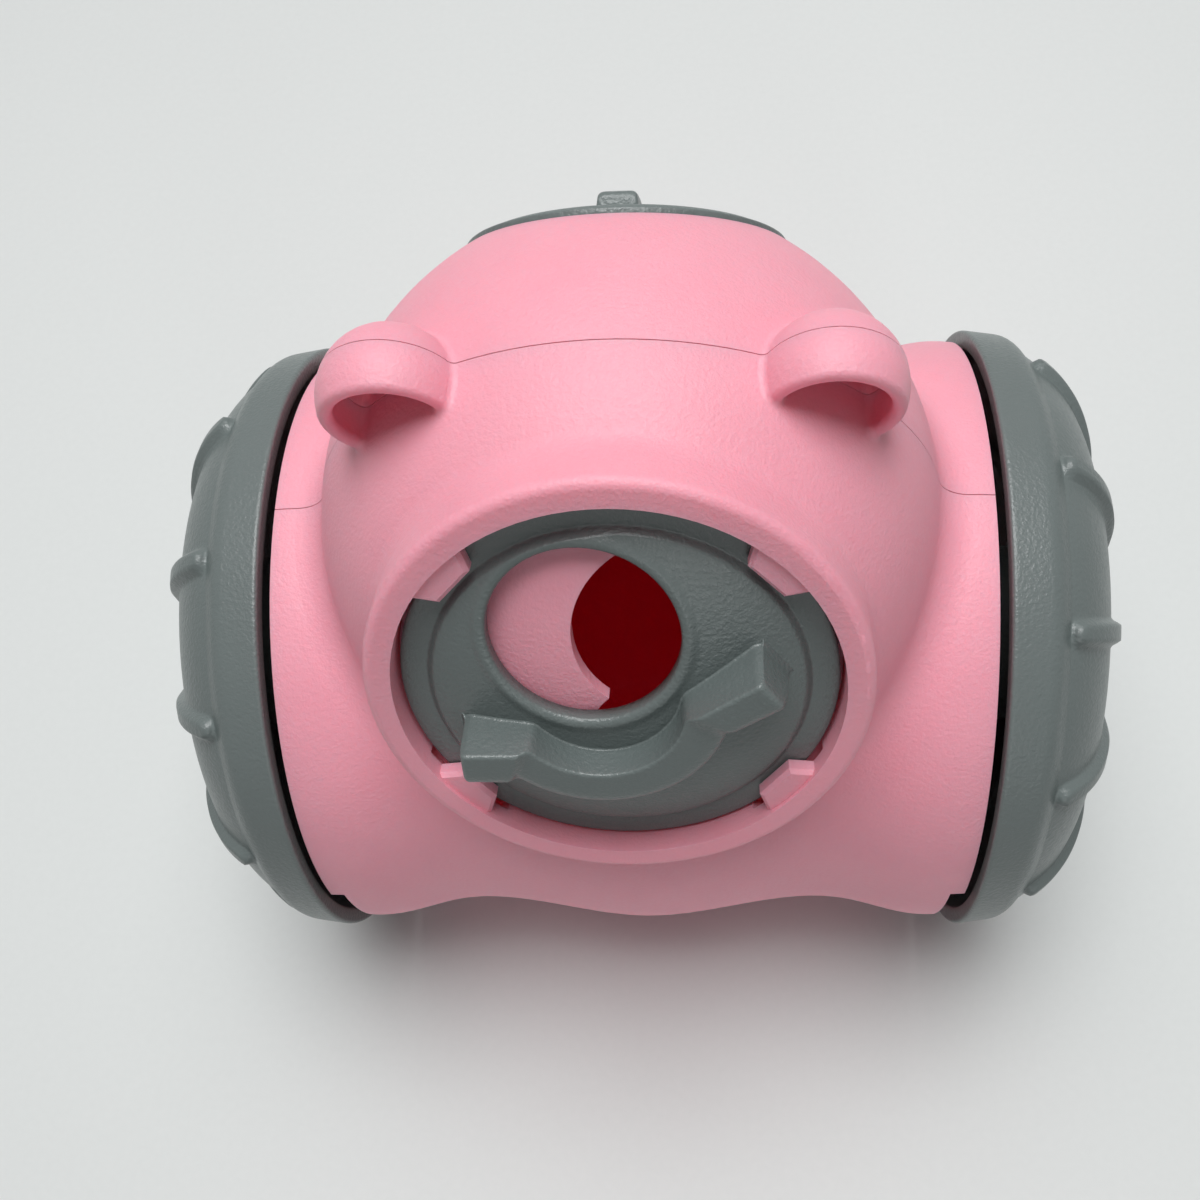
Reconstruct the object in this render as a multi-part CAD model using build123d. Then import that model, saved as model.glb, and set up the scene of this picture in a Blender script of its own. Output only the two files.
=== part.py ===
"""Treat dispensing dog toy: a weighted body between two wheels, with a turning outlet disc.

The toy stands on its two wheels. +Z is up, the snout looks along -Y and the wheel axle runs
along X. The origin is on the floor, under the middle of the axle. Lengths are in millimetres.
"""
from build123d import *
import math
import os

os.makedirs("parts", exist_ok=True)

# Wheels
wheel_radius = 47.0
rim_inner_x = 48.2
rim_band_width = 6.2
rim_band_taper = 0.9
rim_shoulder_width = 1.8
rim_shoulder_drop = 2.2
dome_middle_out = 5.4
dome_middle_drop = 8.0
dome_top_out = 8.6
dome_top_drop = 14.5
hub_face_out = 9.6
hub_face_radius = 23.0
wheel_wall = 2.6
wall_inset_shares = [(0.55, 0.85), (0.75, 0.66), (0.92, 0.4), (1, 0)]
rib_count = 12
rib_width = 3.6
rib_proud = 1.3
rib_place_shares = (0.04, 0.25, 0.47, 0.69)
right_rib_angle = 6.8
left_rib_angle = 21.8
hub_boss_radius = 14.0
hub_boss_gap = 0.4

# Axle plates, bushes and wheel fasteners
stub_radius = 6.0
stub_end_x = 59.4
stub_collar_radius = 8.6
stub_collar_x = 48.8
plate_edge_drop = 3.1
plate_outer_x = 44.5
plate_thickness = 2.6
plate_gap = 0.1
plate_rib_count = 6
plate_rib_width = 2.0
plate_rib_height = 2.0
plate_rib_margin = 6.2
bush_wall = 1.8
bush_running_clearance = 0.06
bush_end_clearance = 0.15
bush_fit_clearance = 0.04
washer_radius = 9.0
washer_thickness = 0.8
wheel_screw_radius = 1.75
wheel_screw_head_radius = 3.6
wheel_screw_head_height = 2.2
wheel_screw_depth = 9.0
wheel_screw_slot_width = 1.0
wheel_screw_slot_depth = 1.1
cap_radius = 12.6
cap_thickness = 1.8
cap_sink = 0.1
cap_skirt_wall = 1.4
cap_skirt_depth = 1.6
cap_clearance = 0.1
pocket_radius = 9.6

# Body: drums, belly and head
body_wall = 2.6
drum_end_x = 47.0
drum_end_drop = 0.4
drum_peak_x = 42.0
drum_peak_drop = 0.3
valley_x = 31.5
valley_drop = 2.7
belly_floor_clearance = 1.3
lip_depth = 5.1
shoulder_depth = 4.6
shoulder_width = 1.4
head_sink = 7.0
head_radius = 40.6
head_blend = 5.0
relief_angle = -10.0
relief_drop = 2.9
relief_width = 2.1
shell_gap = 0.12
recess_angle = -14.0
recess_half_width = 27.0
recess_half_height = 3.6
recess_depth = 0.9

# Ears
ear_angle = 35.4
ear_radius = 8.2
ear_centre_out = 0.7
ear_centre_front = 2.0
ear_mouth_out = 2.2
ear_mouth_tilt = 4.0
ear_wall = 1.7
ear_blend = 0.8

# Snout collar with its lugs
snout_angle = 28.0
snout_radius = 29.3
snout_lip_height = 35.4
snout_lip_round = 1.2
snout_blend = 4.0
snout_bore_radius = 26.0
snout_seat_radius = 22.4
snout_seat_height = 28.6
snout_seat_thickness = 2.4
lug_angles = (44, 136, 218, 322)
lug_base_width = 11.4
lug_tip_width = 5.6
lug_reach = 3.0
lug_thickness = 2.0
lug_chamfer = 0.5
lug_pocket_depth = 1.0

# Outlet disc with its treat hole and grip
disc_radius = 25.4
disc_flange_thickness = 1.9
disc_gap = 0.25
disc_face_radius = 22.0
disc_shoulder_radius = 21.7
disc_shoulder_height = 0.8
disc_face_height = 4.2
disc_wall = 1.8
treat_hole_radius = 10.8
treat_hole_x = -3.3
treat_hole_y = 9.3
grip_centre_x = -2.1
grip_centre_y = 3.1
grip_arc_radius = 12.8
grip_from_angle = 222.0
grip_to_angle = 345.0
grip_width = 5.3
grip_top_height = 8.8
grip_block_width = 5.6
grip_block_length = 8.0
grip_block_reach = 3.4
grip_block_top_height = 9.2
grip_left_turn = -1.0
grip_right_turn = 33.0
grip_corner_round = 0.9
grip_edge_round = 1.2

# Shutter plate with its opening and screws
shutter_thickness = 1.8
shutter_clearance = 0.2
shutter_dome_gap = 0.3
shutter_opening_radius = 11.15
shutter_opening_x = 6.3
shutter_opening_y = 8.3
shutter_opening_limit = 18.4
shutter_tail_radius = 6.1
shutter_tail_x = 2.9
shutter_tail_y = -4.6
shutter_screw_count = 3
shutter_screw_circle = 24.0
shutter_screw_start_angle = 90.0
shutter_screw_radius = 0.8
shutter_screw_head_radius = 1.3
shutter_screw_head_height = 0.7
shutter_screw_length = 3.4

# Filling port and lid
port_angle = 27.0
port_seat_height = 34.2
port_seat_radius = 21.2
port_bore_radius = 17.8
port_wall = 2.2
port_neck_depth = 6.0
lid_radius = 20.8
lid_flange_thickness = 1.2
lid_foot_radius = 20.1
lid_shoulder_radius = 19.5
lid_shoulder_height = 0.5
lid_dome_height = 2.6
lid_wall = 2.0
lid_plug_clearance = 0.5
lid_plug_depth = 5.2
lid_plug_wall = 3.2
lid_ridge_length = 30.0
lid_ridge_width = 4.6
lid_ridge_base_width = 14.0
lid_ridge_foot_height = 2.1
lid_ridge_height = 3.0
lid_ridge_crown_radius = 60.0
lid_ridge_round = 0.7
lid_seat_gap = 0.1
seal_height = 2.2
seal_depth = 1.4
seal_drop = 1.6
seal_port_clearance = 0.08
seal_groove_clearance = 0.05

# Weight box low in the body
tub_half_length = 31.0
tub_depth = 15.6
tub_wall = 1.8
tub_clearance = 0.8
weight_clearance = 0.4
weight_cover_thickness = 2.0
weight_cover_half_width = 31.6
cover_screw_x = 26.8
cover_screw_y = 18.0
cover_screw_radius = 1.2
cover_screw_head_radius = 2.2
cover_screw_head_height = 1.2
cover_screw_length = 7.0
cover_boss_radius = 2.6
counterweight_front_trim = 22.1
counterweight_rear_trim = 30.0

# Shell screws and bosses
boss_x = 36.8
boss_rise = 27.0
boss_radius = 4.4
screw_radius = 1.5
screw_head_radius = 2.6
screw_head_height = 1.8
screw_length = 16.0
screw_pilot_clearance = 0.05
screw_tunnel_clearance = 0.4
screw_floor = 5.0

# Shared cutting overrun, and how an edge is told by its place
overrun = 2.0
edge_tolerance = 0.05
edge_check_shares = (0, 0.25, 0.5, 0.75, 1)


def sin_of(degrees):
    """The sine of an angle in degrees."""
    return math.sin(math.radians(degrees))


def cos_of(degrees):
    """The cosine of an angle in degrees."""
    return math.cos(math.radians(degrees))


# Datums that the whole toy follows
axle_height = wheel_radius
belly_radius = wheel_radius - belly_floor_clearance
drum_end_radius = belly_radius - drum_end_drop
drum_peak_radius = belly_radius - drum_peak_drop
valley_radius = belly_radius - valley_drop
lip_inner_radius = drum_end_radius - lip_depth
shoulder_inner_radius = drum_end_radius - shoulder_depth
plate_radius = drum_end_radius - plate_edge_drop
plate_rib_radius = plate_radius - plate_rib_margin
relief_distance = drum_end_radius - relief_drop
head_rise = belly_radius - head_sink
dome_middle_radius = wheel_radius - dome_middle_drop
dome_top_radius = wheel_radius - dome_top_drop
axle_point = Vector(0, 0, axle_height)
head_point = Vector(0, 0, axle_height + head_rise)
snout_plane = Plane(
    origin=head_point, x_dir=(1, 0, 0), z_dir=(0, -cos_of(snout_angle), sin_of(snout_angle))
)
port_plane = Plane(
    origin=head_point, x_dir=(1, 0, 0), z_dir=(0, cos_of(port_angle), sin_of(port_angle))
)
plate_inner_x = plate_outer_x - plate_thickness
bush_start_x = stub_collar_x + bush_end_clearance
bush_end_x = stub_end_x - bush_end_clearance
bush_inner_radius = stub_radius + bush_running_clearance
bush_outer_radius = bush_inner_radius + bush_wall
rim_shoulder_x = rim_inner_x + rim_band_width + rim_shoulder_width
rim_shoulder_radius = wheel_radius - rim_band_taper - rim_shoulder_drop
hub_face_x = rim_shoulder_x + hub_face_out
washer_outer_x = stub_end_x + washer_thickness
cap_outer_x = hub_face_x - cap_sink
cap_inner_x = cap_outer_x - cap_thickness
disc_bottom = snout_seat_height + shutter_thickness + disc_gap
lug_bottom = disc_bottom + disc_flange_thickness + disc_gap
lid_bottom = port_seat_height + lid_seat_gap
plug_radius = port_bore_radius - lid_plug_clearance
seal_outer_radius = port_bore_radius - seal_port_clearance
seal_inner_radius = plug_radius - seal_depth
tub_radius = valley_radius - body_wall - tub_clearance
tub_top = axle_height - tub_radius + tub_depth
cover_top = tub_top + weight_cover_thickness


# Shapes that several pieces share


def rod(radius, start, end):
    """A cylinder on Z between two heights."""
    aligned = (Align.CENTER, Align.CENTER, Align.MIN)
    return Pos(0, 0, start) * Cylinder(radius, end - start, align=aligned)


def ring(outer, inner, start, end):
    """A flat ring on Z between two heights."""
    return rod(outer, start, end) - rod(inner, start - overrun, end + overrun)


def on_snout(shape):
    """Places a shape made on Z along the snout's axis, from the middle of the head."""
    return snout_plane.location * shape


def on_port(shape):
    """Places a shape made on Z along the filling port's axis, from the middle of the head."""
    return port_plane.location * shape


def on_axle(shape):
    """Places a shape made on Z along the wheel axle, from the middle to the right."""
    return Pos(*axle_point) * Rot(0, 90, 0) * shape


def turned(outline):
    """Turns an outline, drawn as distance along the axle and radius, round the wheel axle."""
    return Pos(*axle_point) * revolve(make_face(outline), axis=Axis.X)


def mirrored(shape, side):
    """Leaves a right-hand shape alone, or mirrors it to the left for side -1."""
    return shape if side > 0 else mirror(shape, about=Plane.YZ)


def both_sides(shape):
    """A right-hand shape together with its mirror image on the left."""
    return shape + mirror(shape, about=Plane.YZ)


def front_direction(angle):
    """A plane at the axle that looks to the front, raised by an angle."""
    z_dir = (0, -cos_of(angle), sin_of(angle))
    return Plane(origin=axle_point, x_dir=(1, 0, 0), z_dir=z_dir)


def half_space(side):
    """The space on one side of the parting plane, +1 for the rear, with half the shell gap."""
    size = 4 * (head_rise + head_radius)
    return Pos(0, side * (size + shell_gap) / 2, axle_height) * Box(size, size, size)


# Body: both shells in one, before they are parted


def drum_outline(wall, end):
    """The line that the drums and the belly are turned from, moved in by a wall."""
    right = [
        (valley_x, valley_radius - wall),
        (drum_peak_x, drum_peak_radius - wall),
        (end, drum_end_radius - wall),
    ]
    left = [(-x, radius) for x, radius in reversed(right)]
    crest = Spline(*left, (0, belly_radius - wall), *right)
    closing = Polyline(right[-1], (end, 0), (-end, 0), left[0])
    return crest + closing


def head_ball(wall):
    """The ball of the head, moved in by a wall."""
    return Pos(*head_point) * Sphere(head_radius - wall)


def ear_centre(side):
    """The middle of an ear on the head's top."""
    reach = head_radius + ear_centre_out
    sideways = side * reach * sin_of(ear_angle)
    return head_point + Vector(sideways, -ear_centre_front, reach * cos_of(ear_angle))


def ear_section():
    """The section of a hollow ball with a full round lip, its mouth open along Y."""
    inner = ear_radius - ear_wall
    middle = ear_radius - ear_wall / 2
    lip_angle = math.degrees(math.asin(ear_mouth_out / middle))
    half_angle = (lip_angle - 90) / 2
    across = Vector(cos_of(lip_angle), sin_of(lip_angle))
    along = Vector(-sin_of(lip_angle), cos_of(lip_angle))
    halfway = Vector(cos_of(half_angle), sin_of(half_angle))
    outside = ThreePointArc((0, -ear_radius), halfway * ear_radius, across * ear_radius)
    lip_top = across * middle + along * (ear_wall / 2)
    lip = ThreePointArc(across * ear_radius, lip_top, across * inner)
    inside = ThreePointArc(across * inner, halfway * inner, (0, -inner))
    return make_face(outside + lip + inside + Line((0, -inner), (0, -ear_radius)))


def ear(side):
    """One ear: a hollow ball whose mouth looks to the front and a little down."""
    cup = revolve(ear_section(), axis=Axis.Y)
    return Pos(*ear_centre(side)) * Rot(180 + ear_mouth_tilt, 0, 0) * cup


def lens_recess():
    """The lens-shaped recess across the front of the belly."""
    lens_radius = (recess_half_width**2 + recess_half_height**2) / (2 * recess_half_height)
    offset = lens_radius - recess_half_height
    upper = Pos(0, -offset, 0) * rod(lens_radius, 0, wheel_radius)
    lower = Pos(0, offset, 0) * rod(lens_radius, 0, wheel_radius)
    lens = front_direction(recess_angle).location * (upper & lower)
    return lens - turned(drum_outline(recess_depth, drum_end_x))


def rim_relief():
    """Flats at the front of both drum ends that clear the wheel rims."""
    flat = Box(2 * relief_width, 2 * wheel_radius, wheel_radius)
    place = Pos(drum_end_x, 0, relief_distance + wheel_radius / 2)
    return both_sides(front_direction(relief_angle).location * place * flat)


def runs_at(edge, distances):
    """Whether each distance, a function of a point, is nought all along an edge."""
    points = [edge @ share for share in edge_check_shares]
    return all(abs(distance(point)) < edge_tolerance for point in points for distance in distances)


def from_head(point):
    """How far a point lies outside the ball of the head."""
    return (point - head_point).length - head_radius


def from_collar(point):
    """How far a point lies outside the snout's collar, whatever its height."""
    local = snout_plane.to_local_coords(point)
    return math.hypot(local.X, local.Y) - snout_radius


def from_lip(point):
    """How far a point lies in front of the snout's lip."""
    return snout_plane.to_local_coords(point).Z - snout_lip_height


def from_ear(side):
    """The distance of a point from one ear's ball, as a function."""
    return lambda point: (point - ear_centre(side)).length - ear_radius


def drums_and_head():
    """The drums and the belly with the ball of the head, blended where they cross."""
    form = turned(drum_outline(0, drum_end_x)) + head_ball(0)
    crossing = form.edges().filter_by(GeomType.CIRCLE, reverse=True)
    return fillet(crossing, head_blend)


def body_outside():
    """The closed outer form of the body, with the snout's collar and both ears blended in."""
    collar = on_snout(rod(snout_radius, head_radius / 2, snout_lip_height))
    form = drums_and_head() + collar
    rims = [edge for edge in form.edges() if runs_at(edge, [from_collar])]
    feet = [edge for edge in rims if abs(from_lip(edge @ 0)) > edge_tolerance]
    form = fillet([edge for edge in feet if edge.geom_type != GeomType.LINE], snout_blend)
    mouth = [edge for edge in form.edges() if runs_at(edge, [from_collar, from_lip])]
    form = fillet(mouth, snout_lip_round) + ear(-1) + ear(1)
    for side in (-1, 1):
        feet = [edge for edge in form.edges() if runs_at(edge, [from_ear(side), from_head])]
        form = fillet(feet, ear_blend)
    return form


def body_cavity():
    """The space inside both shells."""
    drums = turned(drum_outline(body_wall, drum_end_x + overrun))
    bore = rod(snout_bore_radius, snout_seat_height, head_radius + overrun)
    return drums + head_ball(body_wall) + on_snout(bore)


def plate_grooves():
    """Rings inside both drum ends that hold the axle plates between them."""
    outer = drum_end_radius - body_wall / 2
    shoulder_x = plate_inner_x - plate_gap
    shoulder = ring(outer, shoulder_inner_radius, shoulder_x - shoulder_width, shoulder_x)
    lip = ring(outer, lip_inner_radius, plate_outer_x + plate_gap, drum_end_x)
    return both_sides(on_axle(shoulder + lip))


def snout_seat():
    """The flat ring at the bottom of the snout's bore that carries the shutter plate."""
    outer = (snout_bore_radius + snout_radius) / 2
    bottom = snout_seat_height - snout_seat_thickness
    return on_snout(ring(outer, snout_seat_radius, bottom, snout_seat_height))


def port_neck():
    """The tube round the filling port that the lid's plug fits in."""
    bottom = port_seat_height - port_neck_depth
    return on_port(ring(port_bore_radius + port_wall, port_bore_radius, bottom, port_seat_height))


def port_cut():
    """The flat seat and the bore of the filling port."""
    seat = rod(port_seat_radius, port_seat_height, head_radius + overrun)
    return on_port(seat + rod(port_bore_radius, head_radius / 2, port_seat_height + overrun))


def lug_outline(base, base_width, tip_width):
    """A tapered tab from a base radius in to the lugs' tips, drawn towards +X."""
    tip = snout_bore_radius - lug_reach
    corners = [
        (base, -base_width / 2),
        (tip, -tip_width / 2),
        (tip, tip_width / 2),
        (base, base_width / 2),
    ]
    return make_face(Polyline(*corners, close=True))


def snout_lugs():
    """The four lugs that hold the outlet disc in the snout."""
    base = (snout_bore_radius + snout_radius) / 2
    tab = lug_outline(base, lug_base_width, lug_tip_width)
    lug = extrude(tab, lug_thickness)
    lug = Pos(0, 0, lug_bottom) * chamfer(lug.edges().group_by(Axis.Z)[-1], lug_chamfer)
    return [on_snout(Rot(0, 0, angle) * lug) for angle in lug_angles]


def lug_pockets():
    """Shallow pockets in the bore's wall under the lugs."""
    base = snout_bore_radius + lug_pocket_depth
    width = lug_base_width + 2 * lug_pocket_depth
    pocket = extrude(lug_outline(base, width, width), lug_bottom - disc_bottom)
    pocket = Pos(0, 0, disc_bottom) * pocket
    return [on_snout(Rot(0, 0, angle) * pocket) for angle in lug_angles]


def shell_screw_places():
    """The four shell screws' places on the parting plane."""
    sides = (-1, 1)
    return [Pos(x * boss_x, 0, axle_height + z * boss_rise) for x in sides for z in sides]


def shell_bosses():
    """The four bosses that run from the front wall to the rear wall."""
    length = 2 * belly_radius
    boss = Rot(90, 0, 0) * rod(boss_radius, -length / 2, length / 2)
    inside = turned(drum_outline(body_wall / 2, drum_end_x))
    return [(place * boss) & inside for place in shell_screw_places()]


def whole_body():
    """Both shells in one, before they are parted."""
    outside = body_outside()
    body = outside - rim_relief() - lens_recess() - body_cavity()
    body = body + plate_grooves() + shell_bosses() + snout_seat() + port_neck()
    body = body - rim_relief() - port_cut()
    window = rod(snout_seat_radius, head_radius / 2, snout_seat_height + overrun)
    return body - on_snout(window) - lug_pockets() + snout_lugs()


def front_shell(body):
    """The front half, with pilot holes for the shell screws."""
    depth = screw_length - screw_floor + screw_radius
    pilot = Rot(90, 0, 0) * rod(screw_radius + screw_pilot_clearance, -overrun, depth)
    return (body & half_space(-1)) - [place * pilot for place in shell_screw_places()]


def rear_shell(body):
    """The rear half, with tunnels and seats for the shell screws."""
    tunnel = rod(screw_head_radius + screw_tunnel_clearance, screw_floor, belly_radius + overrun)
    hole = rod(screw_radius + screw_pilot_clearance, -overrun, screw_floor + overrun)
    path = Rot(-90, 0, 0) * (tunnel + hole)
    return (body & half_space(1)) - [place * path for place in shell_screw_places()]


def shell_screws():
    """The four screws that join the shells, heads to the rear."""
    head = rod(screw_head_radius, screw_floor, screw_floor + screw_head_height)
    shank = rod(screw_radius, screw_floor - screw_length, screw_floor + screw_head_height / 2)
    screw = Rot(-90, 0, 0) * (head + shank)
    return Compound(children=[place * screw for place in shell_screw_places()])


# Outlet disc and shutter


def domed(foot_radius, edge_radius, start, foot, edge, top):
    """A turned cap on Z: straight up to its foot, a shoulder to its edge, then a shallow dome."""
    sides = Polyline(
        (0, top), (0, start), (foot_radius, start), (foot_radius, foot), (edge_radius, edge)
    )
    crown = TangentArc((0, top), (edge_radius, edge), tangent=(1, 0))
    return Rot(90, 0, 0) * revolve(make_face(sides + crown), axis=Axis.Y)


def disc_form(inset, start):
    """The disc's raised face, moved in by a wall and filled down to a height."""
    foot = disc_flange_thickness - inset
    edge = foot + disc_shoulder_height
    top = foot + disc_face_height
    return domed(disc_face_radius - inset, disc_shoulder_radius - inset, start, foot, edge, top)


def grip_block(angle, turn, side):
    """One of the grip's two end blocks, which runs on from the end of its arc at a turn."""
    shape = RectangleRounded(grip_block_length, grip_block_width, grip_corner_round)
    block = extrude(shape, disc_flange_thickness + grip_block_top_height)
    block = fillet(block.edges().group_by(Axis.Z)[-1], grip_edge_round)
    x = grip_centre_x + grip_arc_radius * cos_of(angle)
    y = grip_centre_y + grip_arc_radius * sin_of(angle)
    return Pos(x, y, 0) * Rot(0, 0, turn) * Pos(side * grip_block_reach, 0, 0) * block


def grip():
    """The curved grip with its straight end blocks, standing in the flange."""
    arc = CenterArc(
        (grip_centre_x, grip_centre_y), grip_arc_radius, grip_from_angle,
        grip_to_angle - grip_from_angle,
    )
    bar = extrude(SlotArc(arc, grip_width), disc_flange_thickness + grip_top_height)
    bar = fillet(bar.edges().group_by(Axis.Z)[-1], grip_edge_round)
    left = grip_block(grip_from_angle, grip_left_turn, -1)
    right = grip_block(grip_to_angle, grip_right_turn, 1)
    return (bar + left + right) - rod(disc_radius, 0, disc_flange_thickness / 2)


def outlet_disc():
    """The turning disc with its treat hole and grip."""
    hole = Pos(treat_hole_x, treat_hole_y, 0)
    top = disc_flange_thickness + disc_face_height
    solid = rod(disc_radius, 0, disc_flange_thickness) + disc_form(0, 0)
    disc = solid - disc_form(disc_wall, -overrun) + (grip() - disc_form(disc_wall, -overrun))
    disc = disc - hole * rod(treat_hole_radius, -overrun, 2 * top)
    return on_snout(Pos(0, 0, disc_bottom) * disc)


def shutter_screw_places():
    """The places of the shutter screws on the seat, evenly round the snout."""
    step = 360 / shutter_screw_count
    place = Pos(shutter_screw_circle, 0, snout_seat_height + shutter_thickness)
    turns = [shutter_screw_start_angle + step * index for index in range(shutter_screw_count)]
    return [Rot(0, 0, turn) * place for turn in turns]


def shutter_screw_form(clearance):
    """One countersunk shutter screw on Z, its head flush at zero, or its hole with a clearance."""
    shank = rod(shutter_screw_radius + clearance, -shutter_screw_length - clearance, 0)
    head_bottom = -shutter_screw_head_height - clearance
    return shank + rod(shutter_screw_head_radius + clearance, head_bottom, 0)


def shutter_screws():
    """The three small screws that hold the shutter plate."""
    screw = shutter_screw_form(0)
    return Compound(children=[on_snout(place * screw) for place in shutter_screw_places()])


def shutter_screw_holes():
    """The holes of the shutter screws, with a small clearance."""
    hole = shutter_screw_form(screw_pilot_clearance)
    return [on_snout(place * hole) for place in shutter_screw_places()]


def shutter_opening():
    """The plate's opening: a large round with a smaller tail, kept inside a limit."""
    large = Pos(shutter_opening_x, shutter_opening_y) * Circle(shutter_opening_radius)
    tail = Pos(shutter_tail_x, shutter_tail_y) * Circle(shutter_tail_radius)
    shape = (large + tail) & Circle(shutter_opening_limit)
    cut = extrude(shape, shutter_thickness + disc_face_height + 2 * overrun)
    return on_snout(Pos(0, 0, snout_seat_height - overrun) * cut)


def shutter_plate():
    """The fixed plate that the disc turns over, domed under the disc's raised face."""
    bottom = snout_seat_height - disc_bottom
    inset = disc_wall + shutter_dome_gap
    flat = rod(snout_bore_radius - shutter_clearance, bottom, bottom + shutter_thickness)
    plate = flat + disc_form(inset, bottom) - disc_form(inset + shutter_thickness, bottom - overrun)
    plate = on_snout(Pos(0, 0, disc_bottom) * plate)
    return plate - shutter_opening() - shutter_screw_holes()


# Filling lid


def lid_form(inset, start):
    """The lid's dome, moved in by a wall and filled down to a height."""
    foot = lid_flange_thickness - inset
    edge = foot + lid_shoulder_height
    return domed(lid_foot_radius - inset, lid_shoulder_radius - inset, start, foot, edge,
                 foot + lid_dome_height)


def lid_ridge():
    """The low grip across the lid, on a wider base and with a crowned top."""
    base = lid_flange_thickness
    middle = base + lid_ridge_foot_height
    top = middle + lid_ridge_height
    half_base = lid_ridge_base_width / 2
    half = lid_ridge_width / 2
    section = Polyline(
        (-half_base, base), (-half, middle), (-half, top), (half, top), (half, middle),
        (half_base, base), close=True,
    )
    ridge = extrude(Plane.XZ * make_face(section), lid_ridge_length / 2, both=True)
    crown = Rot(0, 90, 0) * Cylinder(lid_ridge_crown_radius, 2 * lid_ridge_base_width)
    ridge = ridge & Pos(0, 0, top - lid_ridge_crown_radius) * crown
    return fillet(ridge.edges().group_by(Axis.Z)[-1], lid_ridge_round)


def seal_groove(clearance):
    """The groove round the plug, or with a negative clearance the ring that fits it."""
    top = lid_bottom - seal_drop
    return ring(
        plug_radius + overrun, seal_inner_radius - clearance, top - seal_height - clearance,
        top + clearance,
    )


def fill_lid():
    """The filling lid with its plug and its grip."""
    plug_inner = plug_radius - lid_plug_wall
    hollow = lid_form(lid_wall, 0) & rod(plug_inner, 0, lid_radius)
    lid = rod(lid_radius, 0, lid_flange_thickness) + lid_form(0, 0) + lid_ridge() - hollow
    plug = ring(plug_radius, plug_inner, -lid_plug_depth, lid_flange_thickness / 2)
    lid = Pos(0, 0, lid_bottom) * (lid + plug)
    return on_port(lid - seal_groove(seal_groove_clearance))


def lid_seal():
    """The soft ring round the lid's plug."""
    top = lid_bottom - seal_drop
    return on_port(ring(seal_outer_radius, seal_inner_radius, top - seal_height, top))


# Wheels


def dome_curve(inset):
    """The dome's line from the shoulder to the hub face, moved in by a wall."""
    points = [
        (rim_shoulder_x, rim_shoulder_radius),
        (rim_shoulder_x + dome_middle_out, dome_middle_radius),
        (rim_shoulder_x + dome_top_out, dome_top_radius),
        (hub_face_x, hub_face_radius),
    ]
    moved = [
        (point[0] - inset * share[0], point[1] - inset * share[1])
        for point, share in zip(points, wall_inset_shares)
    ]
    return Spline(*moved)


def wheel_form(inset, start):
    """The wheel's outer form, turned round the axle, or its hollow with a wall inset."""
    dome = dome_curve(inset)
    band_x = rim_inner_x + rim_band_width
    sides = Polyline(
        dome @ 1, (hub_face_x - inset, 0), (start, 0), (start, wheel_radius - inset),
        (band_x - inset / 2, wheel_radius - rim_band_taper - inset), dome @ 0,
    )
    return turned(dome + sides)


def wheel_rib():
    """One rib on the dome, a round bar sunk in the surface, in the plane of the rear."""
    dome = dome_curve(rib_width / 2 - rib_proud)
    path = Spline(*[dome @ share for share in rib_place_shares])
    bar = sweep(Plane(origin=path @ 0, z_dir=path % 0) * Circle(rib_width / 2), path=path)
    ends = [Pos(*(path @ share)) * Sphere(rib_width / 2) for share in (0, 1)]
    return bar + ends


def wheel(side):
    """One wheel: a domed shell with ribs and a hub."""
    step = 360 / rib_count
    start = right_rib_angle if side > 0 else left_rib_angle
    rib = wheel_rib()
    ribs = [
        Pos(*axle_point) * Rot(-start - step * index, 0, 0) * rib for index in range(rib_count)
    ]
    hub_inner_x = stub_collar_x + hub_boss_gap
    hub = on_axle(rod(hub_boss_radius, hub_inner_x, hub_face_x - wheel_wall / 2))
    bore = rod(bush_outer_radius + bush_fit_clearance, hub_inner_x - overrun, hub_face_x)
    pocket = rod(pocket_radius, bush_end_x, hub_face_x)
    recess = rod(cap_radius + cap_clearance, cap_inner_x, hub_face_x + overrun)
    form = wheel_form(0, rim_inner_x) + ribs
    form = form - wheel_form(wheel_wall, rim_inner_x - overrun) + hub
    return mirrored(form - on_axle(bore + pocket + recess), side)


def wheel_bush(side):
    """The plain bearing bush between a wheel and its stub."""
    bush = ring(bush_outer_radius, bush_inner_radius, bush_start_x, bush_end_x)
    return mirrored(on_axle(bush), side)


def wheel_washer(side):
    """The washer that holds a wheel on its stub."""
    hole = wheel_screw_radius + screw_pilot_clearance
    return mirrored(on_axle(ring(washer_radius, hole, stub_end_x, washer_outer_x)), side)


def wheel_screw(side):
    """The screw in the end of a stub, with its slot."""
    top = washer_outer_x + wheel_screw_head_height
    head = rod(wheel_screw_head_radius, washer_outer_x, top)
    shank = rod(wheel_screw_radius, washer_outer_x - wheel_screw_depth, top - wheel_screw_slot_depth)
    slot = Box(2 * wheel_screw_head_radius, wheel_screw_slot_width, 2 * wheel_screw_slot_depth)
    return mirrored(on_axle(head + shank - Pos(0, 0, top) * slot), side)


def hub_cap(side):
    """The flat cap in the middle of a wheel, with its skirt."""
    skirt_outer = pocket_radius - cap_clearance
    cap = rod(cap_radius, cap_inner_x, cap_outer_x)
    skirt = ring(
        skirt_outer, skirt_outer - cap_skirt_wall, cap_inner_x - cap_skirt_depth,
        cap_inner_x + cap_thickness / 2,
    )
    return mirrored(on_axle(cap + skirt), side)


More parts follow.
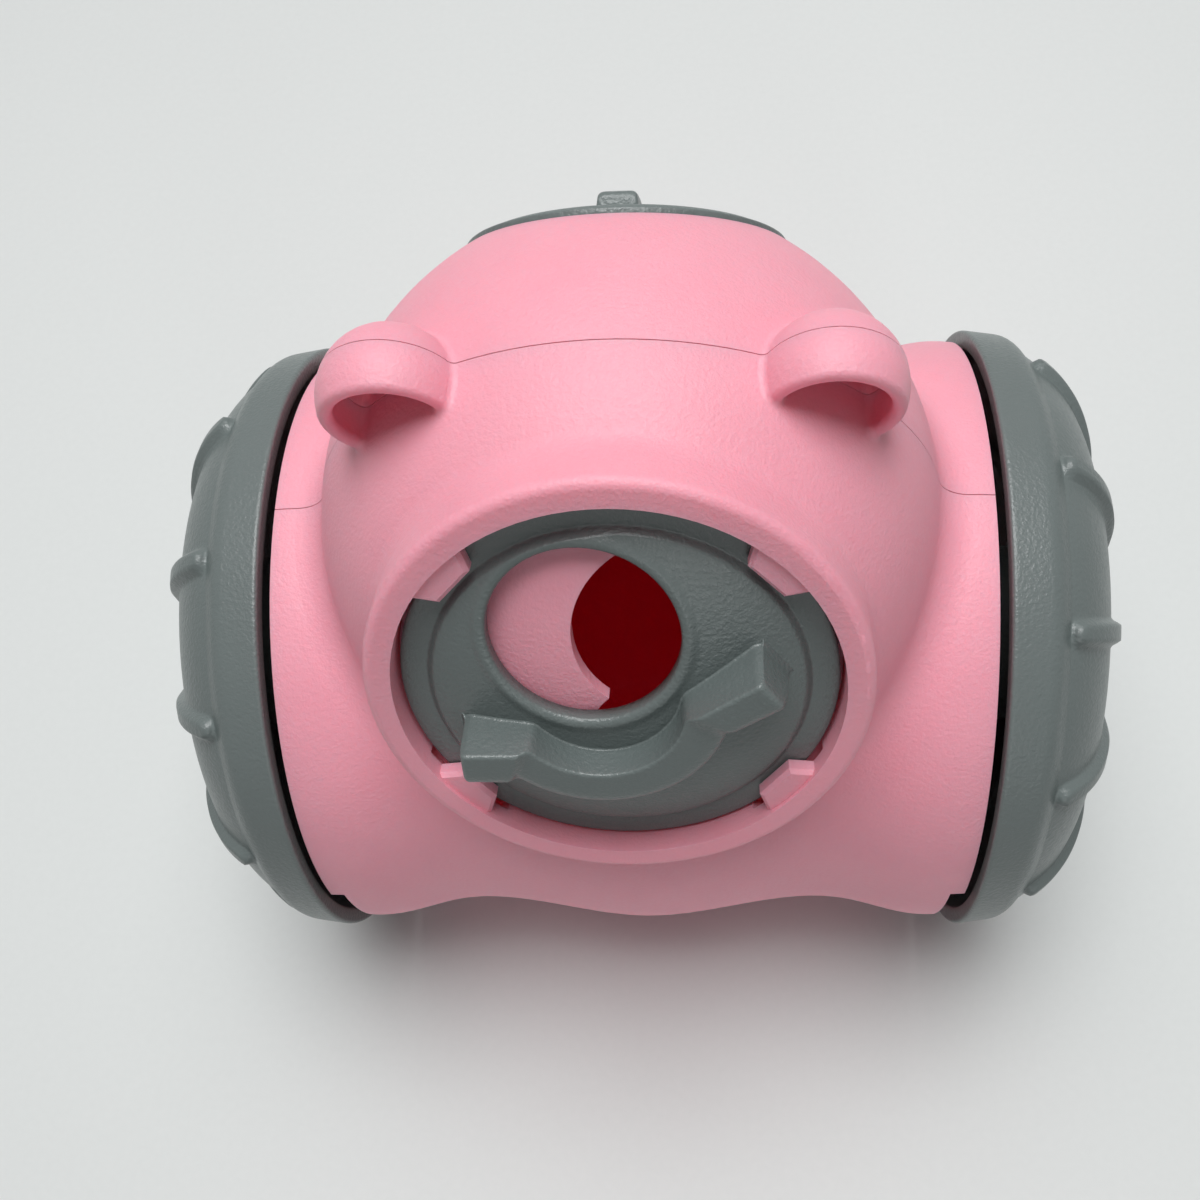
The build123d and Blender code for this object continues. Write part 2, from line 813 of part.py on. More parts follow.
def axle_plate(side):
    """The end plate of a drum with the stub axle of its wheel."""
    plate = rod(plate_radius, plate_inner_x, plate_outer_x)
    stub = rod(stub_radius, plate_inner_x, stub_end_x)
    stub = stub + rod(stub_collar_radius, plate_inner_x, stub_collar_x)
    rib = Box(2 * plate_rib_radius, plate_rib_width, plate_rib_height)
    place = Pos(0, 0, plate_outer_x + plate_rib_height / 2)
    step = 180 / (plate_rib_count / 2)
    ribs = [Rot(0, 0, step * index) * place * rib for index in range(plate_rib_count // 2)]
    hole = rod(
        wheel_screw_radius + screw_pilot_clearance, washer_outer_x - wheel_screw_depth - overrun,
        stub_end_x + overrun,
    )
    return mirrored(on_axle(plate + stub + ribs - hole), side)


# Weight box


def box_below(height):
    """All space below a height, as wide as the body."""
    size = 4 * wheel_radius
    return Pos(0, 0, height - size / 2) * Box(size, size, size)


def bottom_segment(radius, half_length, top):
    """The part of a bar on the axle that lies below a height."""
    return on_axle(rod(radius, -half_length, half_length)) & box_below(top)


def cover_screw_places():
    """The places of the cover screws on the weight box."""
    sides = (-1, 1)
    return [Pos(x * cover_screw_x, y * cover_screw_y, cover_top) for x in sides for y in sides]


def weight_tub():
    """The open box for the counterweight, with screw bosses in its corners."""
    outside = bottom_segment(tub_radius, tub_half_length, tub_top)
    inside = bottom_segment(tub_radius - tub_wall, tub_half_length - tub_wall, tub_top + overrun)
    boss = rod(cover_boss_radius, -wheel_radius, 0)
    bosses = [(place * boss) & outside for place in cover_screw_places()]
    hole = rod(cover_screw_radius + screw_pilot_clearance, -cover_screw_length - overrun, 0)
    return outside - inside + bosses - [place * hole for place in cover_screw_places()]


def weight_cover():
    """The flat cover of the weight box."""
    size = (2 * tub_half_length, 2 * weight_cover_half_width, weight_cover_thickness)
    plate = Pos(0, 0, (tub_top + cover_top) / 2) * Box(*size)
    hole = rod(cover_screw_radius + screw_pilot_clearance, -cover_screw_length, overrun)
    return plate - [place * hole for place in cover_screw_places()]


def weight_cover_screws():
    """The four screws of the weight box."""
    head = rod(cover_screw_head_radius, 0, cover_screw_head_height)
    screw = head + rod(cover_screw_radius, -cover_screw_length, cover_screw_head_height / 2)
    return Compound(children=[place * screw for place in cover_screw_places()])


def counterweight():
    """The steel bar that keeps the toy upright."""
    half_length = cover_screw_x - cover_boss_radius - weight_clearance
    radius = tub_radius - tub_wall - weight_clearance
    bar = bottom_segment(radius, half_length, tub_top - weight_clearance)
    width = counterweight_front_trim + counterweight_rear_trim
    middle = (counterweight_rear_trim - counterweight_front_trim) / 2
    return bar & Pos(0, middle, 0) * Box(2 * half_length, width, 2 * tub_top)


# All pieces, each written under its own name
body = whole_body() - shutter_screw_holes()
pieces = {
    "front_shell": front_shell(body),
    "rear_shell": rear_shell(body),
    "shell_screws": shell_screws(),
    "outlet_disc": outlet_disc(),
    "shutter_plate": shutter_plate(),
    "shutter_screws": shutter_screws(),
    "fill_lid": fill_lid(),
    "lid_seal": lid_seal(),
    "weight_tub": weight_tub(),
    "weight_cover": weight_cover(),
    "weight_cover_screws": weight_cover_screws(),
    "counterweight": counterweight(),
}
for name, side in (("left", -1), ("right", 1)):
    pieces[name + "_wheel"] = wheel(side)
    pieces[name + "_wheel_bush"] = wheel_bush(side)
    pieces[name + "_wheel_washer"] = wheel_washer(side)
    pieces[name + "_wheel_screw"] = wheel_screw(side)
    pieces[name + "_hub_cap"] = hub_cap(side)
    pieces[name + "_axle_plate"] = axle_plate(side)
for name, piece in pieces.items():
    export_step(piece, f"parts/{name}.step")
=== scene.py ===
"""Treat dispensing dog toy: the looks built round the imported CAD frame.

A round-headed pink body hangs between two grey wheels. The snout holds a grey disc with a treat
hole and a curved grip, and a grey lid closes the filling port behind. The shells, plates, screws
and the weight box are CAD nodes that get finishes here. The wheels, hub caps, outlet disc and
lid are surfaces worked out below, with the soft edges that the moulded parts have. Sizes are
millimetres in the CAD's frame where a class doesn't say otherwise, and SCALE turns them to metres.
"""

import logging
from dataclasses import dataclass, field
from enum import Enum

import bmesh
import bpy
import numpy as np
from mathutils import Matrix


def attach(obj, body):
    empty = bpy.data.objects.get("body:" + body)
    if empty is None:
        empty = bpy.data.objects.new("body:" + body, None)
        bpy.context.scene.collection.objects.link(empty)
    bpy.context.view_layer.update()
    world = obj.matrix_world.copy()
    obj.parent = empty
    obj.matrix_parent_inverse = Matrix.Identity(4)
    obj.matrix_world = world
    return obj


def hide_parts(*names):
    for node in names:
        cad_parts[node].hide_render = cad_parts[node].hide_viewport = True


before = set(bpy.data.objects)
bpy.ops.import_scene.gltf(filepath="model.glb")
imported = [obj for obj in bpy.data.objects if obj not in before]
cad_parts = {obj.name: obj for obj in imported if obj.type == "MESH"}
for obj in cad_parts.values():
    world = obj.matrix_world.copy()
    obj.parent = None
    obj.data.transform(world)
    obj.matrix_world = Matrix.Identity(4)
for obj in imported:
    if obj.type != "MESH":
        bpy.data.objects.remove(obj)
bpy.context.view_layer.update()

SCALE = 0.001
LOG = logging.getLogger("treat_toy")


class Side(Enum):
    """The two sides of the toy along the wheel axle."""

    LEFT = -1
    RIGHT = 1

    @property
    def prefix(self) -> str:
        """The word that starts the names of this side's nodes."""
        return self.name.lower()


class Slot(Enum):
    """The record's material slots."""

    PINK = "pink_plastic"
    GREY = "grey_plastic"
    BEARING = "bearing_plastic"
    ZINC = "zinc_steel"
    WEIGHT = "weight_steel"
    SEAL = "seal_rubber"


# Finishes


def linear(code: str) -> tuple[float, float, float, float]:
    """Turns an sRGB hex colour to linear red, green, blue and alpha.

    Args:
        code: six hex digits after a hash sign.

    Returns:
        The linear colour with an alpha of one.
    """
    srgb = np.array([int(code[place : place + 2], 16) for place in (1, 3, 5)]) / 255
    value = np.where(srgb <= 0.04045, srgb / 12.92, ((srgb + 0.055) / 1.055) ** 2.4)
    return (*value.tolist(), 1.0)


def add_node(
    tree: bpy.types.NodeTree, kind: str, inputs: dict | None = None, **settings: object
) -> bpy.types.Node:
    """Adds one shader node with its settings and its links.

    Args:
        tree: the node tree.
        kind: the node's type name.
        inputs: a value or an output socket for each input, by its name or number.
        settings: the node's own properties.

    Returns:
        The new node.
    """
    node = tree.nodes.new(kind)
    for name, value in settings.items():
        setattr(node, name, value)
    for place, value in (inputs or {}).items():
        if isinstance(value, bpy.types.NodeSocket):
            tree.links.new(value, node.inputs[place])
        else:
            node.inputs[place].default_value = value
    return node


def empty_material(name: str) -> tuple[bpy.types.Material, bpy.types.NodeTree]:
    """A new material with an empty node tree.

    Args:
        name: the material's name.

    Returns:
        The material and its tree.
    """
    material = bpy.data.materials.new(name)
    material.use_nodes = True
    material.node_tree.nodes.clear()
    return material, material.node_tree


def close_material(tree: bpy.types.NodeTree, surface: bpy.types.NodeSocket) -> None:
    """Links a shader to the material's output.

    Args:
        tree: the material's node tree.
        surface: the shader's output socket.
    """
    add_node(tree, "ShaderNodeOutputMaterial", {"Surface": surface})


def per_metre(millimetres: float) -> float:
    """The noise scale that draws one feature in so many millimetres.

    Args:
        millimetres: the feature's width.

    Returns:
        The scale, in features per metre.
    """
    return 1 / (millimetres * SCALE)


@dataclass(frozen=True)
class MouldedAbs:
    """ABS moulded in a spark-eroded tool: a dull sheen that breaks into fine sparkling grain.

    The real grain is about a quarter of a millimetre wide. It is drawn about twice as wide, so
    that it shows in a picture of the whole toy.
    """

    name: str
    colour: str
    shade: str
    roughness: float
    grain_depth: float
    grain: float = 0.55
    grain_range: tuple[float, float] = (0.3, 0.7)
    gloss_spread: float = 0.06
    clouding: float = 9.0
    index: float = 1.53
    glow: float = 0.0
    glow_depth: float = 7.0
    glow_reach: tuple[float, float, float] = (1.0, 0.12, 0.14)

    def material(self) -> bpy.types.Material:
        """Builds the material: clouded colour, uneven gloss and eroded grain as bump.

        A share of the light, the glow, enters the plastic. The glow reach is how deep red, green
        and blue go, as shares of the glow depth, and red goes deepest.

        Returns:
            The new material.
        """
        material, tree = empty_material(self.name)
        place = add_node(tree, "ShaderNodeTexCoord").outputs["Object"]
        cloud = add_node(
            tree,
            "ShaderNodeTexNoise",
            {"Vector": place, "Scale": per_metre(self.clouding), "Detail": 3.0},
        )
        colour = add_node(
            tree,
            "ShaderNodeMix",
            {0: cloud.outputs["Fac"], 6: linear(self.shade), 7: linear(self.colour)},
            data_type="RGBA",
        )
        grain = add_node(
            tree,
            "ShaderNodeTexNoise",
            {"Vector": place, "Scale": per_metre(self.grain), "Detail": 2.0, "Roughness": 0.6},
        )
        gloss = add_node(
            tree,
            "ShaderNodeMapRange",
            {
                "Value": grain.outputs["Fac"],
                "From Min": self.grain_range[0],
                "From Max": self.grain_range[1],
                "To Min": self.roughness + self.gloss_spread,
                "To Max": self.roughness - self.gloss_spread,
            },
        )
        bump = add_node(
            tree,
            "ShaderNodeBump",
            {
                "Height": grain.outputs["Fac"],
                "Distance": self.grain_depth * SCALE,
                "Strength": 1.0,
            },
        )
        plastic = add_node(
            tree,
            "ShaderNodeBsdfPrincipled",
            {
                "Base Color": colour.outputs[2],
                "Roughness": gloss.outputs["Result"],
                "IOR": self.index,
                "Subsurface Weight": self.glow,
                "Subsurface Radius": self.glow_reach,
                "Subsurface Scale": self.glow_depth * SCALE,
                "Normal": bump.outputs["Normal"],
            },
        )
        close_material(tree, plastic.outputs["BSDF"])
        return material


@dataclass(frozen=True)
class PlatedSteel:
    """Zinc-plated or rolled steel: metal whose gloss is broken by crystals or rolling marks."""

    name: str
    colour: str
    shade: str
    roughness: float
    mark: float
    stretch: float = 1.0
    duller: float = 0.12
    shinier: float = 0.08

    def material(self) -> bpy.types.Material:
        """Builds the material: marks of the plating or the rolls in colour and in gloss.

        Returns:
            The new material.
        """
        material, tree = empty_material(self.name)
        place = add_node(tree, "ShaderNodeTexCoord").outputs["Object"]
        drawn = add_node(
            tree, "ShaderNodeMapping", {"Vector": place, "Scale": (1.0, self.stretch, 1.0)}
        )
        marks = add_node(
            tree,
            "ShaderNodeTexNoise",
            {"Vector": drawn.outputs["Vector"], "Scale": per_metre(self.mark), "Detail": 4.0},
        )
        colour = add_node(
            tree,
            "ShaderNodeMix",
            {0: marks.outputs["Fac"], 6: linear(self.shade), 7: linear(self.colour)},
            data_type="RGBA",
        )
        gloss = add_node(
            tree,
            "ShaderNodeMapRange",
            {
                "Value": marks.outputs["Fac"],
                "To Min": self.roughness + self.duller,
                "To Max": self.roughness - self.shinier,
            },
        )
        metal = add_node(
            tree,
            "ShaderNodeBsdfPrincipled",
            {
                "Base Color": colour.outputs[2],
                "Metallic": 1.0,
                "Roughness": gloss.outputs["Result"],
            },
        )
        close_material(tree, metal.outputs["BSDF"])
        return material


PINK_ABS = MouldedAbs(
    "pink_abs_spark_eroded", "#F5A5B5", "#F09DAE", roughness=0.52, grain_depth=0.1, glow=0.3
)
GREY_ABS = MouldedAbs(
    "grey_abs_spark_eroded", "#656E6D", "#606968", roughness=0.36, grain_depth=0.12
)
ACETAL = MouldedAbs(
    "natural_acetal_moulded", "#E9E8E1", "#E2E0D8", roughness=0.36, grain_depth=0.005
)
SILICONE = MouldedAbs(
    "grey_silicone_moulded", "#3B3C3E", "#343537", roughness=0.62, grain_depth=0.01
)
ZINC = PlatedSteel("zinc_plated_steel", "#C9CCCF", "#AEB2B6", roughness=0.34, mark=0.8)
ROLLED = PlatedSteel(
    "hot_rolled_steel", "#63656A", "#4A4B4F", roughness=0.5, mark=2.5, stretch=0.2
)


class Finishes:
    """Every finish of the toy as a Blender material, by the record's slot."""

    def __init__(self) -> None:
        """Builds one material for each slot."""
        kinds = {
            Slot.PINK: PINK_ABS,
            Slot.GREY: GREY_ABS,
            Slot.BEARING: ACETAL,
            Slot.ZINC: ZINC,
            Slot.WEIGHT: ROLLED,
            Slot.SEAL: SILICONE,
        }
        self.materials = {slot: kind.material() for slot, kind in kinds.items()}

    def dress(self, node: str, slot: Slot) -> None:
        """Gives a CAD node its finish in every material slot.

        Args:
            node: the node's name.
            slot: the record's slot of the finish.
        """
        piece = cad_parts[node]
        for place in piece.material_slots:
            place.material = self.materials[slot]
        LOG.info("dressed %s with %s", node, slot.value)


# Surfaces


@dataclass
class Surface:
    """A grid of points in rows and columns, in millimetres, closed on itself where it wraps."""

    points: np.ndarray
    wrap_rows: bool = False
    wrap_columns: bool = False

    def faces(self) -> np.ndarray:
        """Four corners for each cell of the grid: here, right, across and below.

        Returns:
            One row of four point numbers for each face.
        """
        rows, columns = self.points.shape[:2]
        row = np.arange(rows if self.wrap_rows else rows - 1)[:, None]
        column = np.arange(columns if self.wrap_columns else columns - 1)[None, :]
        below = (row + 1) % rows
        right = (column + 1) % columns
        corners = (
            row * columns + column,
            row * columns + right,
            below * columns + right,
            below * columns + column,
        )
        return np.stack(np.broadcast_arrays(*corners), axis=-1).reshape(-1, 4)


@dataclass(frozen=True)
class Place:
    """A local frame: an origin and three axes in the CAD's frame, in millimetres."""

    origin: tuple[float, float, float]
    x_axis: tuple[float, float, float]
    y_axis: tuple[float, float, float]
    z_axis: tuple[float, float, float]

    def put(self, x: np.ndarray, y: np.ndarray, z: np.ndarray) -> np.ndarray:
        """Places local points: the origin plus each coordinate times its axis.

        Args:
            x: distances along the x axis.
            y: distances along the y axis.
            z: distances along the z axis.

        Returns:
            The points in the CAD's frame.
        """
        local = np.stack(np.broadcast_arrays(x, y, z), axis=-1)
        return local @ np.array([self.x_axis, self.y_axis, self.z_axis]) + self.origin


def facing(angle: float, origin: tuple[float, float, float], forward: int) -> Place:
    """A place whose z axis looks to the front or rear, raised by an angle, with x to the right.

    Args:
        angle: the z axis's angle over the floor, in degrees.
        origin: where the place lies.
        forward: -1 to look to the front and 1 to look to the rear.

    Returns:
        The place.
    """
    rise, run = np.sin(np.radians(angle)), np.cos(np.radians(angle))
    axes = ((1, 0, 0), (0, rise, -forward * run), (0, forward * run, rise))
    return Place(origin, *axes)


HEAD_POINT = (0.0, 0.0, 85.7)
SNOUT = facing(28, HEAD_POINT, forward=-1)
PORT = facing(27, HEAD_POINT, forward=1)
MERGE_GAP = 0.002
SHORTEST_EDGE = 0.001
LONGEST_REACH = 0.49
LEAST_LENGTH = 1e-9
LEAST_GAP = 1e-4


def make_piece(
    name: str, surfaces: list[Surface], material: bpy.types.Material
) -> bpy.types.Object:
    """Joins surfaces to one smooth piece with merged seams and outward faces.

    Args:
        name: the piece's name.
        surfaces: the grids that make it, each a closed shell.
        material: its finish.

    Returns:
        The new object, at the origin, with its place in its mesh.
    """
    clouds = [surface.points.reshape(-1, 3) for surface in surfaces]
    starts = np.cumsum([0] + [len(cloud) for cloud in clouds])
    points = np.concatenate(clouds) * SCALE
    faces = np.concatenate([surface.faces() + start for surface, start in zip(surfaces, starts)])
    mesh = bpy.data.meshes.new(name)
    mesh.from_pydata(points, [], faces)
    merged = bmesh.new()
    merged.from_mesh(mesh)
    bmesh.ops.remove_doubles(merged, verts=merged.verts, dist=MERGE_GAP * SCALE)
    bmesh.ops.dissolve_degenerate(merged, dist=SHORTEST_EDGE * SCALE, edges=merged.edges)
    bmesh.ops.recalc_face_normals(merged, faces=merged.faces)
    merged.to_mesh(mesh)
    merged.free()
    mesh.shade_smooth()
    mesh.materials.append(material)
    piece = bpy.data.objects.new(name, mesh)
    bpy.context.scene.collection.objects.link(piece)
    weighted = piece.modifiers.new("even_shading", "WEIGHTED_NORMAL")
    weighted.keep_sharp = True
    return piece


def stand_for(piece: bpy.types.Object, node: str, body: str) -> None:
    """Lets a piece ride on a body in the place of a CAD node, and logs it.

    Args:
        piece: the new piece.
        node: the CAD node that it replaces.
        body: the body that carries it.
    """
    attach(piece, body)
    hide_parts(node)
    LOG.info("%s stands for %s with %d faces", piece.name, node, len(piece.data.polygons))


def smoothstep(share: np.ndarray) -> np.ndarray:
    """Zero below 0, one above 1, and 3 s squared less 2 s cubed between.

    Args:
        share: the shares s, of any size.

    Returns:
        A value from 0 to 1 for each share.
    """
    share = np.clip(share, 0, 1)
    return share * share * (3 - 2 * share)


def rounded_line(
    corners: np.ndarray, reach: np.ndarray, closed: bool = False, steps: int = 7
) -> np.ndarray:
    """A line through corners, where each corner is a parabola between points on its two sides.

    The parabola is (1 - s)^2 A + 2 s (1 - s) C + s^2 B, with A and B a reach from corner C. No
    reach is longer than LONGEST_REACH times the shorter side.

    Args:
        corners: the corner points, one in a row.
        reach: how far from each corner its rounding starts, nought for a sharp one.
        closed: whether the last corner joins the first.
        steps: the points in each rounding.

    Returns:
        The points of the rounded line, without doubles.
    """
    before = np.roll(corners, 1, axis=0)
    after = np.roll(corners, -1, axis=0)
    if not closed:
        before[0], after[-1] = corners[0], corners[-1]
    back, ahead = before - corners, after - corners
    back_length = np.linalg.norm(back, axis=1, keepdims=True)
    ahead_length = np.linalg.norm(ahead, axis=1, keepdims=True)
    longest = np.maximum(back_length, ahead_length)
    limit = LONGEST_REACH * np.minimum(
        np.where(back_length > 0, back_length, longest),
        np.where(ahead_length > 0, ahead_length, longest),
    )
    reach = np.minimum(reach[:, None], limit)
    start = corners + back * reach / np.maximum(back_length, LEAST_LENGTH)
    end = corners + ahead * reach / np.maximum(ahead_length, LEAST_LENGTH)
    share = np.linspace(0, 1, steps)[None, :, None]
    curve = (
        (1 - share) ** 2 * start[:, None]
        + 2 * share * (1 - share) * corners[:, None]
        + share**2 * end[:, None]
    )
    line = curve.reshape(-1, corners.shape[1])
    gap = np.linalg.norm(np.diff(line, axis=0, prepend=line[:1] - 1), axis=1)
    return line[gap > LEAST_GAP]


def divided(line: np.ndarray, step: float) -> np.ndarray:
    """The line's points with every span over a step cut into equal parts no longer than it.

    Args:
        line: the line's points in a plane.
        step: the longest span that stays whole.

    Returns:
        The points of the cut line.
    """
    length = np.linalg.norm(np.diff(line, axis=0), axis=1)
    parts = np.maximum(np.ceil(length / step), 1).astype(int)
    position = np.concatenate([[0.0], np.cumsum(length)])
    starts = np.repeat(position[:-1], parts)
    order = np.arange(parts.sum()) - np.repeat(np.cumsum(parts) - parts, parts)
    where = np.append(starts + order * np.repeat(length / parts, parts), position[-1])
    return np.stack([np.interp(where, position, line[:, axis]) for axis in range(2)], axis=1)


def through_four(points: np.ndarray, count: int) -> np.ndarray:
    """A cubic through four points, by the length of the chords between them.

    Args:
        points: the four points.
        count: how many points to lay on the curve.

    Returns:
        The curve's points, from the first point to the last.
    """
    chord = np.concatenate([[0.0], np.cumsum(np.linalg.norm(np.diff(points, axis=0), axis=1))])
    weights = np.linalg.solve(np.vander(chord, 4), points)
    return np.vander(np.linspace(0, chord[-1], count), 4) @ weights


# Wheels


@dataclass
class Wheel:
    """A domed wheel with twelve ribs, its hub cap, bush, washer, screw and axle plate.

    Section points are pairs of the distance along the axle and the radius, and a soft value is
    how far from its corner a rounding starts. The rib angles are where the columns across a rib
    start, where they stop and their step, in degrees, and the angles between ribs follow them.
    Ribs grow only where a point lies past the outside line, given by radii and distances.
    """

    side: Side
    rib_start: float
    axle_height: float = 47.0
    rim: tuple = ((48.2, 47.0), (54.4, 46.1))
    dome: tuple = ((56.2, 43.9), (61.6, 39.0), (64.8, 32.5), (65.8, 23.0))
    hub: tuple = (
        (65.8, 12.7), (63.9, 12.7), (63.9, 9.6), (59.25, 9.6), (59.25, 7.9), (49.2, 7.9),
    )
    inner: tuple = (
        (49.2, 14.0), (63.2, 14.0), (63.2, 22.4), (61.0, 33.2), (57.5, 39.2), (53.1, 43.5),
        (48.2, 44.4),
    )
    rim_soft: tuple = (0.7, 1.5)
    dome_soft: tuple = (1.6, 1.2)
    hub_soft: tuple = (0.3, 0.0, 0.0, 0.2, 0.2, 0.4)
    inner_soft: tuple = (0.6, 1.0, 1.0, 1.0, 1.0, 0.8, 0.6)
    dome_points: int = 46
    section_step: float = 1.6
    rib_count: int = 12
    rib_radii: tuple = (43.0, 30.6)
    rib_core: float = 0.95
    rib_edge: float = 1.05
    rib_proud: float = 1.3
    rib_angles: tuple = (-5.4, 5.41, 0.6)
    between_ribs: tuple = (7.5, 10.0, 12.5, 15.0, 17.5, 20.0, 22.5)
    outside_radii: tuple = (0, 23, 44, 48)
    outside_from: tuple = (64, 64, 55, 47)
    cap_radius: float = 12.6
    cap_faces: tuple = (63.9, 65.7)
    cap_skirt: tuple = (9.5, 8.1, 62.3)
    cap_soft: tuple = (0, 0.6, 0.2, 0.1, 0.2, 0.2, 0.1, 0)
    cap_middle: float = 0.01
    cap_step: float = 2.5
    cap_columns: int = 96

    def profile(self) -> np.ndarray:
        """The wheel's closed section as distance along the axle and radius.

        Returns:
            Points that run over the rim, down the dome to the hub and back inside.
        """
        dome = through_four(np.array(self.dome), self.dome_points)
        dome_soft = np.zeros(len(dome))
        dome_soft[[0, -1]] = self.dome_soft
        corners = np.concatenate([self.rim, dome, self.hub, self.inner])
        soft = np.concatenate([self.rim_soft, dome_soft, self.hub_soft, self.inner_soft])
        line = rounded_line(corners, soft, closed=True)
        return divided(np.concatenate([line, line[:1]]), self.section_step)[:-1]

    def angles(self) -> np.ndarray:
        """Angles up from the front in radians, close together across each rib.

        Returns:
            One angle for each column of the wheel's grid.
        """
        across = np.concatenate([np.arange(*self.rib_angles), self.between_ribs])
        ribs = self.rib_start + 360 / self.rib_count * np.arange(self.rib_count)
        return np.radians((ribs[:, None] + across).ravel())

    def rib_height(self, line: np.ndarray, angles: np.ndarray) -> np.ndarray:
        """How far each point stands proud, as part of a rib with round ends.

        The distance to a rib's core line is measured on the surface: along the dome past the
        rib's ends, and round it as radius times angle. The height falls from the core to the
        edge by a smooth step.

        Args:
            line: the section's points.
            angles: the columns' angles in radians.

        Returns:
            One height for each row and column, in millimetres.
        """
        along = np.concatenate([[0.0], np.cumsum(np.linalg.norm(np.diff(line, axis=0), axis=1))])
        outside = line[:, 0] >= np.interp(line[:, 1], self.outside_radii, self.outside_from)
        dome = outside & (line[:, 1] > self.dome[-1][1]) & (line[:, 1] < self.dome[0][1])
        start, end = np.interp(self.rib_radii[::-1], line[dome, 1][::-1], along[dome][::-1])[::-1]
        past = np.maximum(0, np.maximum(start - along, along - end))[:, None]
        pitch = 2 * np.pi / self.rib_count
        turn = (angles - np.radians(self.rib_start) + pitch / 2) % pitch - pitch / 2
        round_it = line[:, 1:] * turn[None, :]
        distance = np.hypot(past, round_it)
        height = self.rib_proud * smoothstep(1 + (self.rib_core - distance) / self.rib_edge)
        return height * outside[:, None]

    def turned(self, line: np.ndarray, angles: np.ndarray, proud: np.ndarray | float) -> Surface:
        """Carries a section round the axle, moved out along its own normal.

        A point is the axle distance on X, and radius times cosine and sine of the angle up from
        the front.

        Args:
            line: the section's points.
            angles: the columns' angles in radians.
            proud: how far each point moves out.

        Returns:
            The closed surface.
        """
        slope = np.gradient(line, axis=0)
        length = np.maximum(np.linalg.norm(slope, axis=1, keepdims=True), LEAST_LENGTH)
        normal = np.stack([-slope[:, 1], slope[:, 0]], axis=1) / length
        along = line[:, :1] + normal[:, :1] * proud
        radius = line[:, 1:] + normal[:, 1:] * proud
        x = self.side.value * along * np.ones_like(angles)
        y = -radius * np.cos(angles)
        z = self.axle_height + radius * np.sin(angles)
        return Surface(np.stack([x, y, z], axis=-1), wrap_rows=True, wrap_columns=True)

    def cap_profile(self) -> np.ndarray:
        """The hub cap's closed section: a flat face with a soft edge, and a skirt behind.

        Returns:
            The section's points as distance along the axle and radius.
        """
        inner, outer = self.cap_faces
        skirt_outer, skirt_inner, skirt_end = self.cap_skirt
        corners = np.array([
            (outer, self.cap_middle), (outer, self.cap_radius), (inner, self.cap_radius),
            (inner, skirt_outer), (skirt_end, skirt_outer), (skirt_end, skirt_inner),
            (inner, skirt_inner), (inner, self.cap_middle),
        ])
        line = rounded_line(corners, np.array(self.cap_soft), closed=True)
        return divided(np.concatenate([line, line[:1]]), self.cap_step)[:-1]

    def build(self, finishes: Finishes) -> None:
        """Makes the wheel and its cap, and dresses what stays CAD on this side.

        Args:
            finishes: the toy's finishes.
        """
        word = self.side.prefix
        body = f"{word}_wheel_body"
        grey = finishes.materials[Slot.GREY]
        line, angles = self.profile(), self.angles()
        shell = self.turned(line, angles, self.rib_height(line, angles))
        wheel = make_piece(f"{word}_ribbed_wheel", [shell], grey)
        stand_for(wheel, f"{word}_wheel", body)
        round_angles = np.linspace(0, 2 * np.pi, self.cap_columns, endpoint=False)
        cap = make_piece(f"{word}_cap", [self.turned(self.cap_profile(), round_angles, 0.0)], grey)
        stand_for(cap, f"{word}_hub_cap", body)
        finishes.dress(f"{word}_wheel_bush", Slot.BEARING)
        finishes.dress(f"{word}_wheel_washer", Slot.ZINC)
        finishes.dress(f"{word}_wheel_screw", Slot.ZINC)
        finishes.dress(f"{word}_axle_plate", Slot.PINK)


# Outlet disc


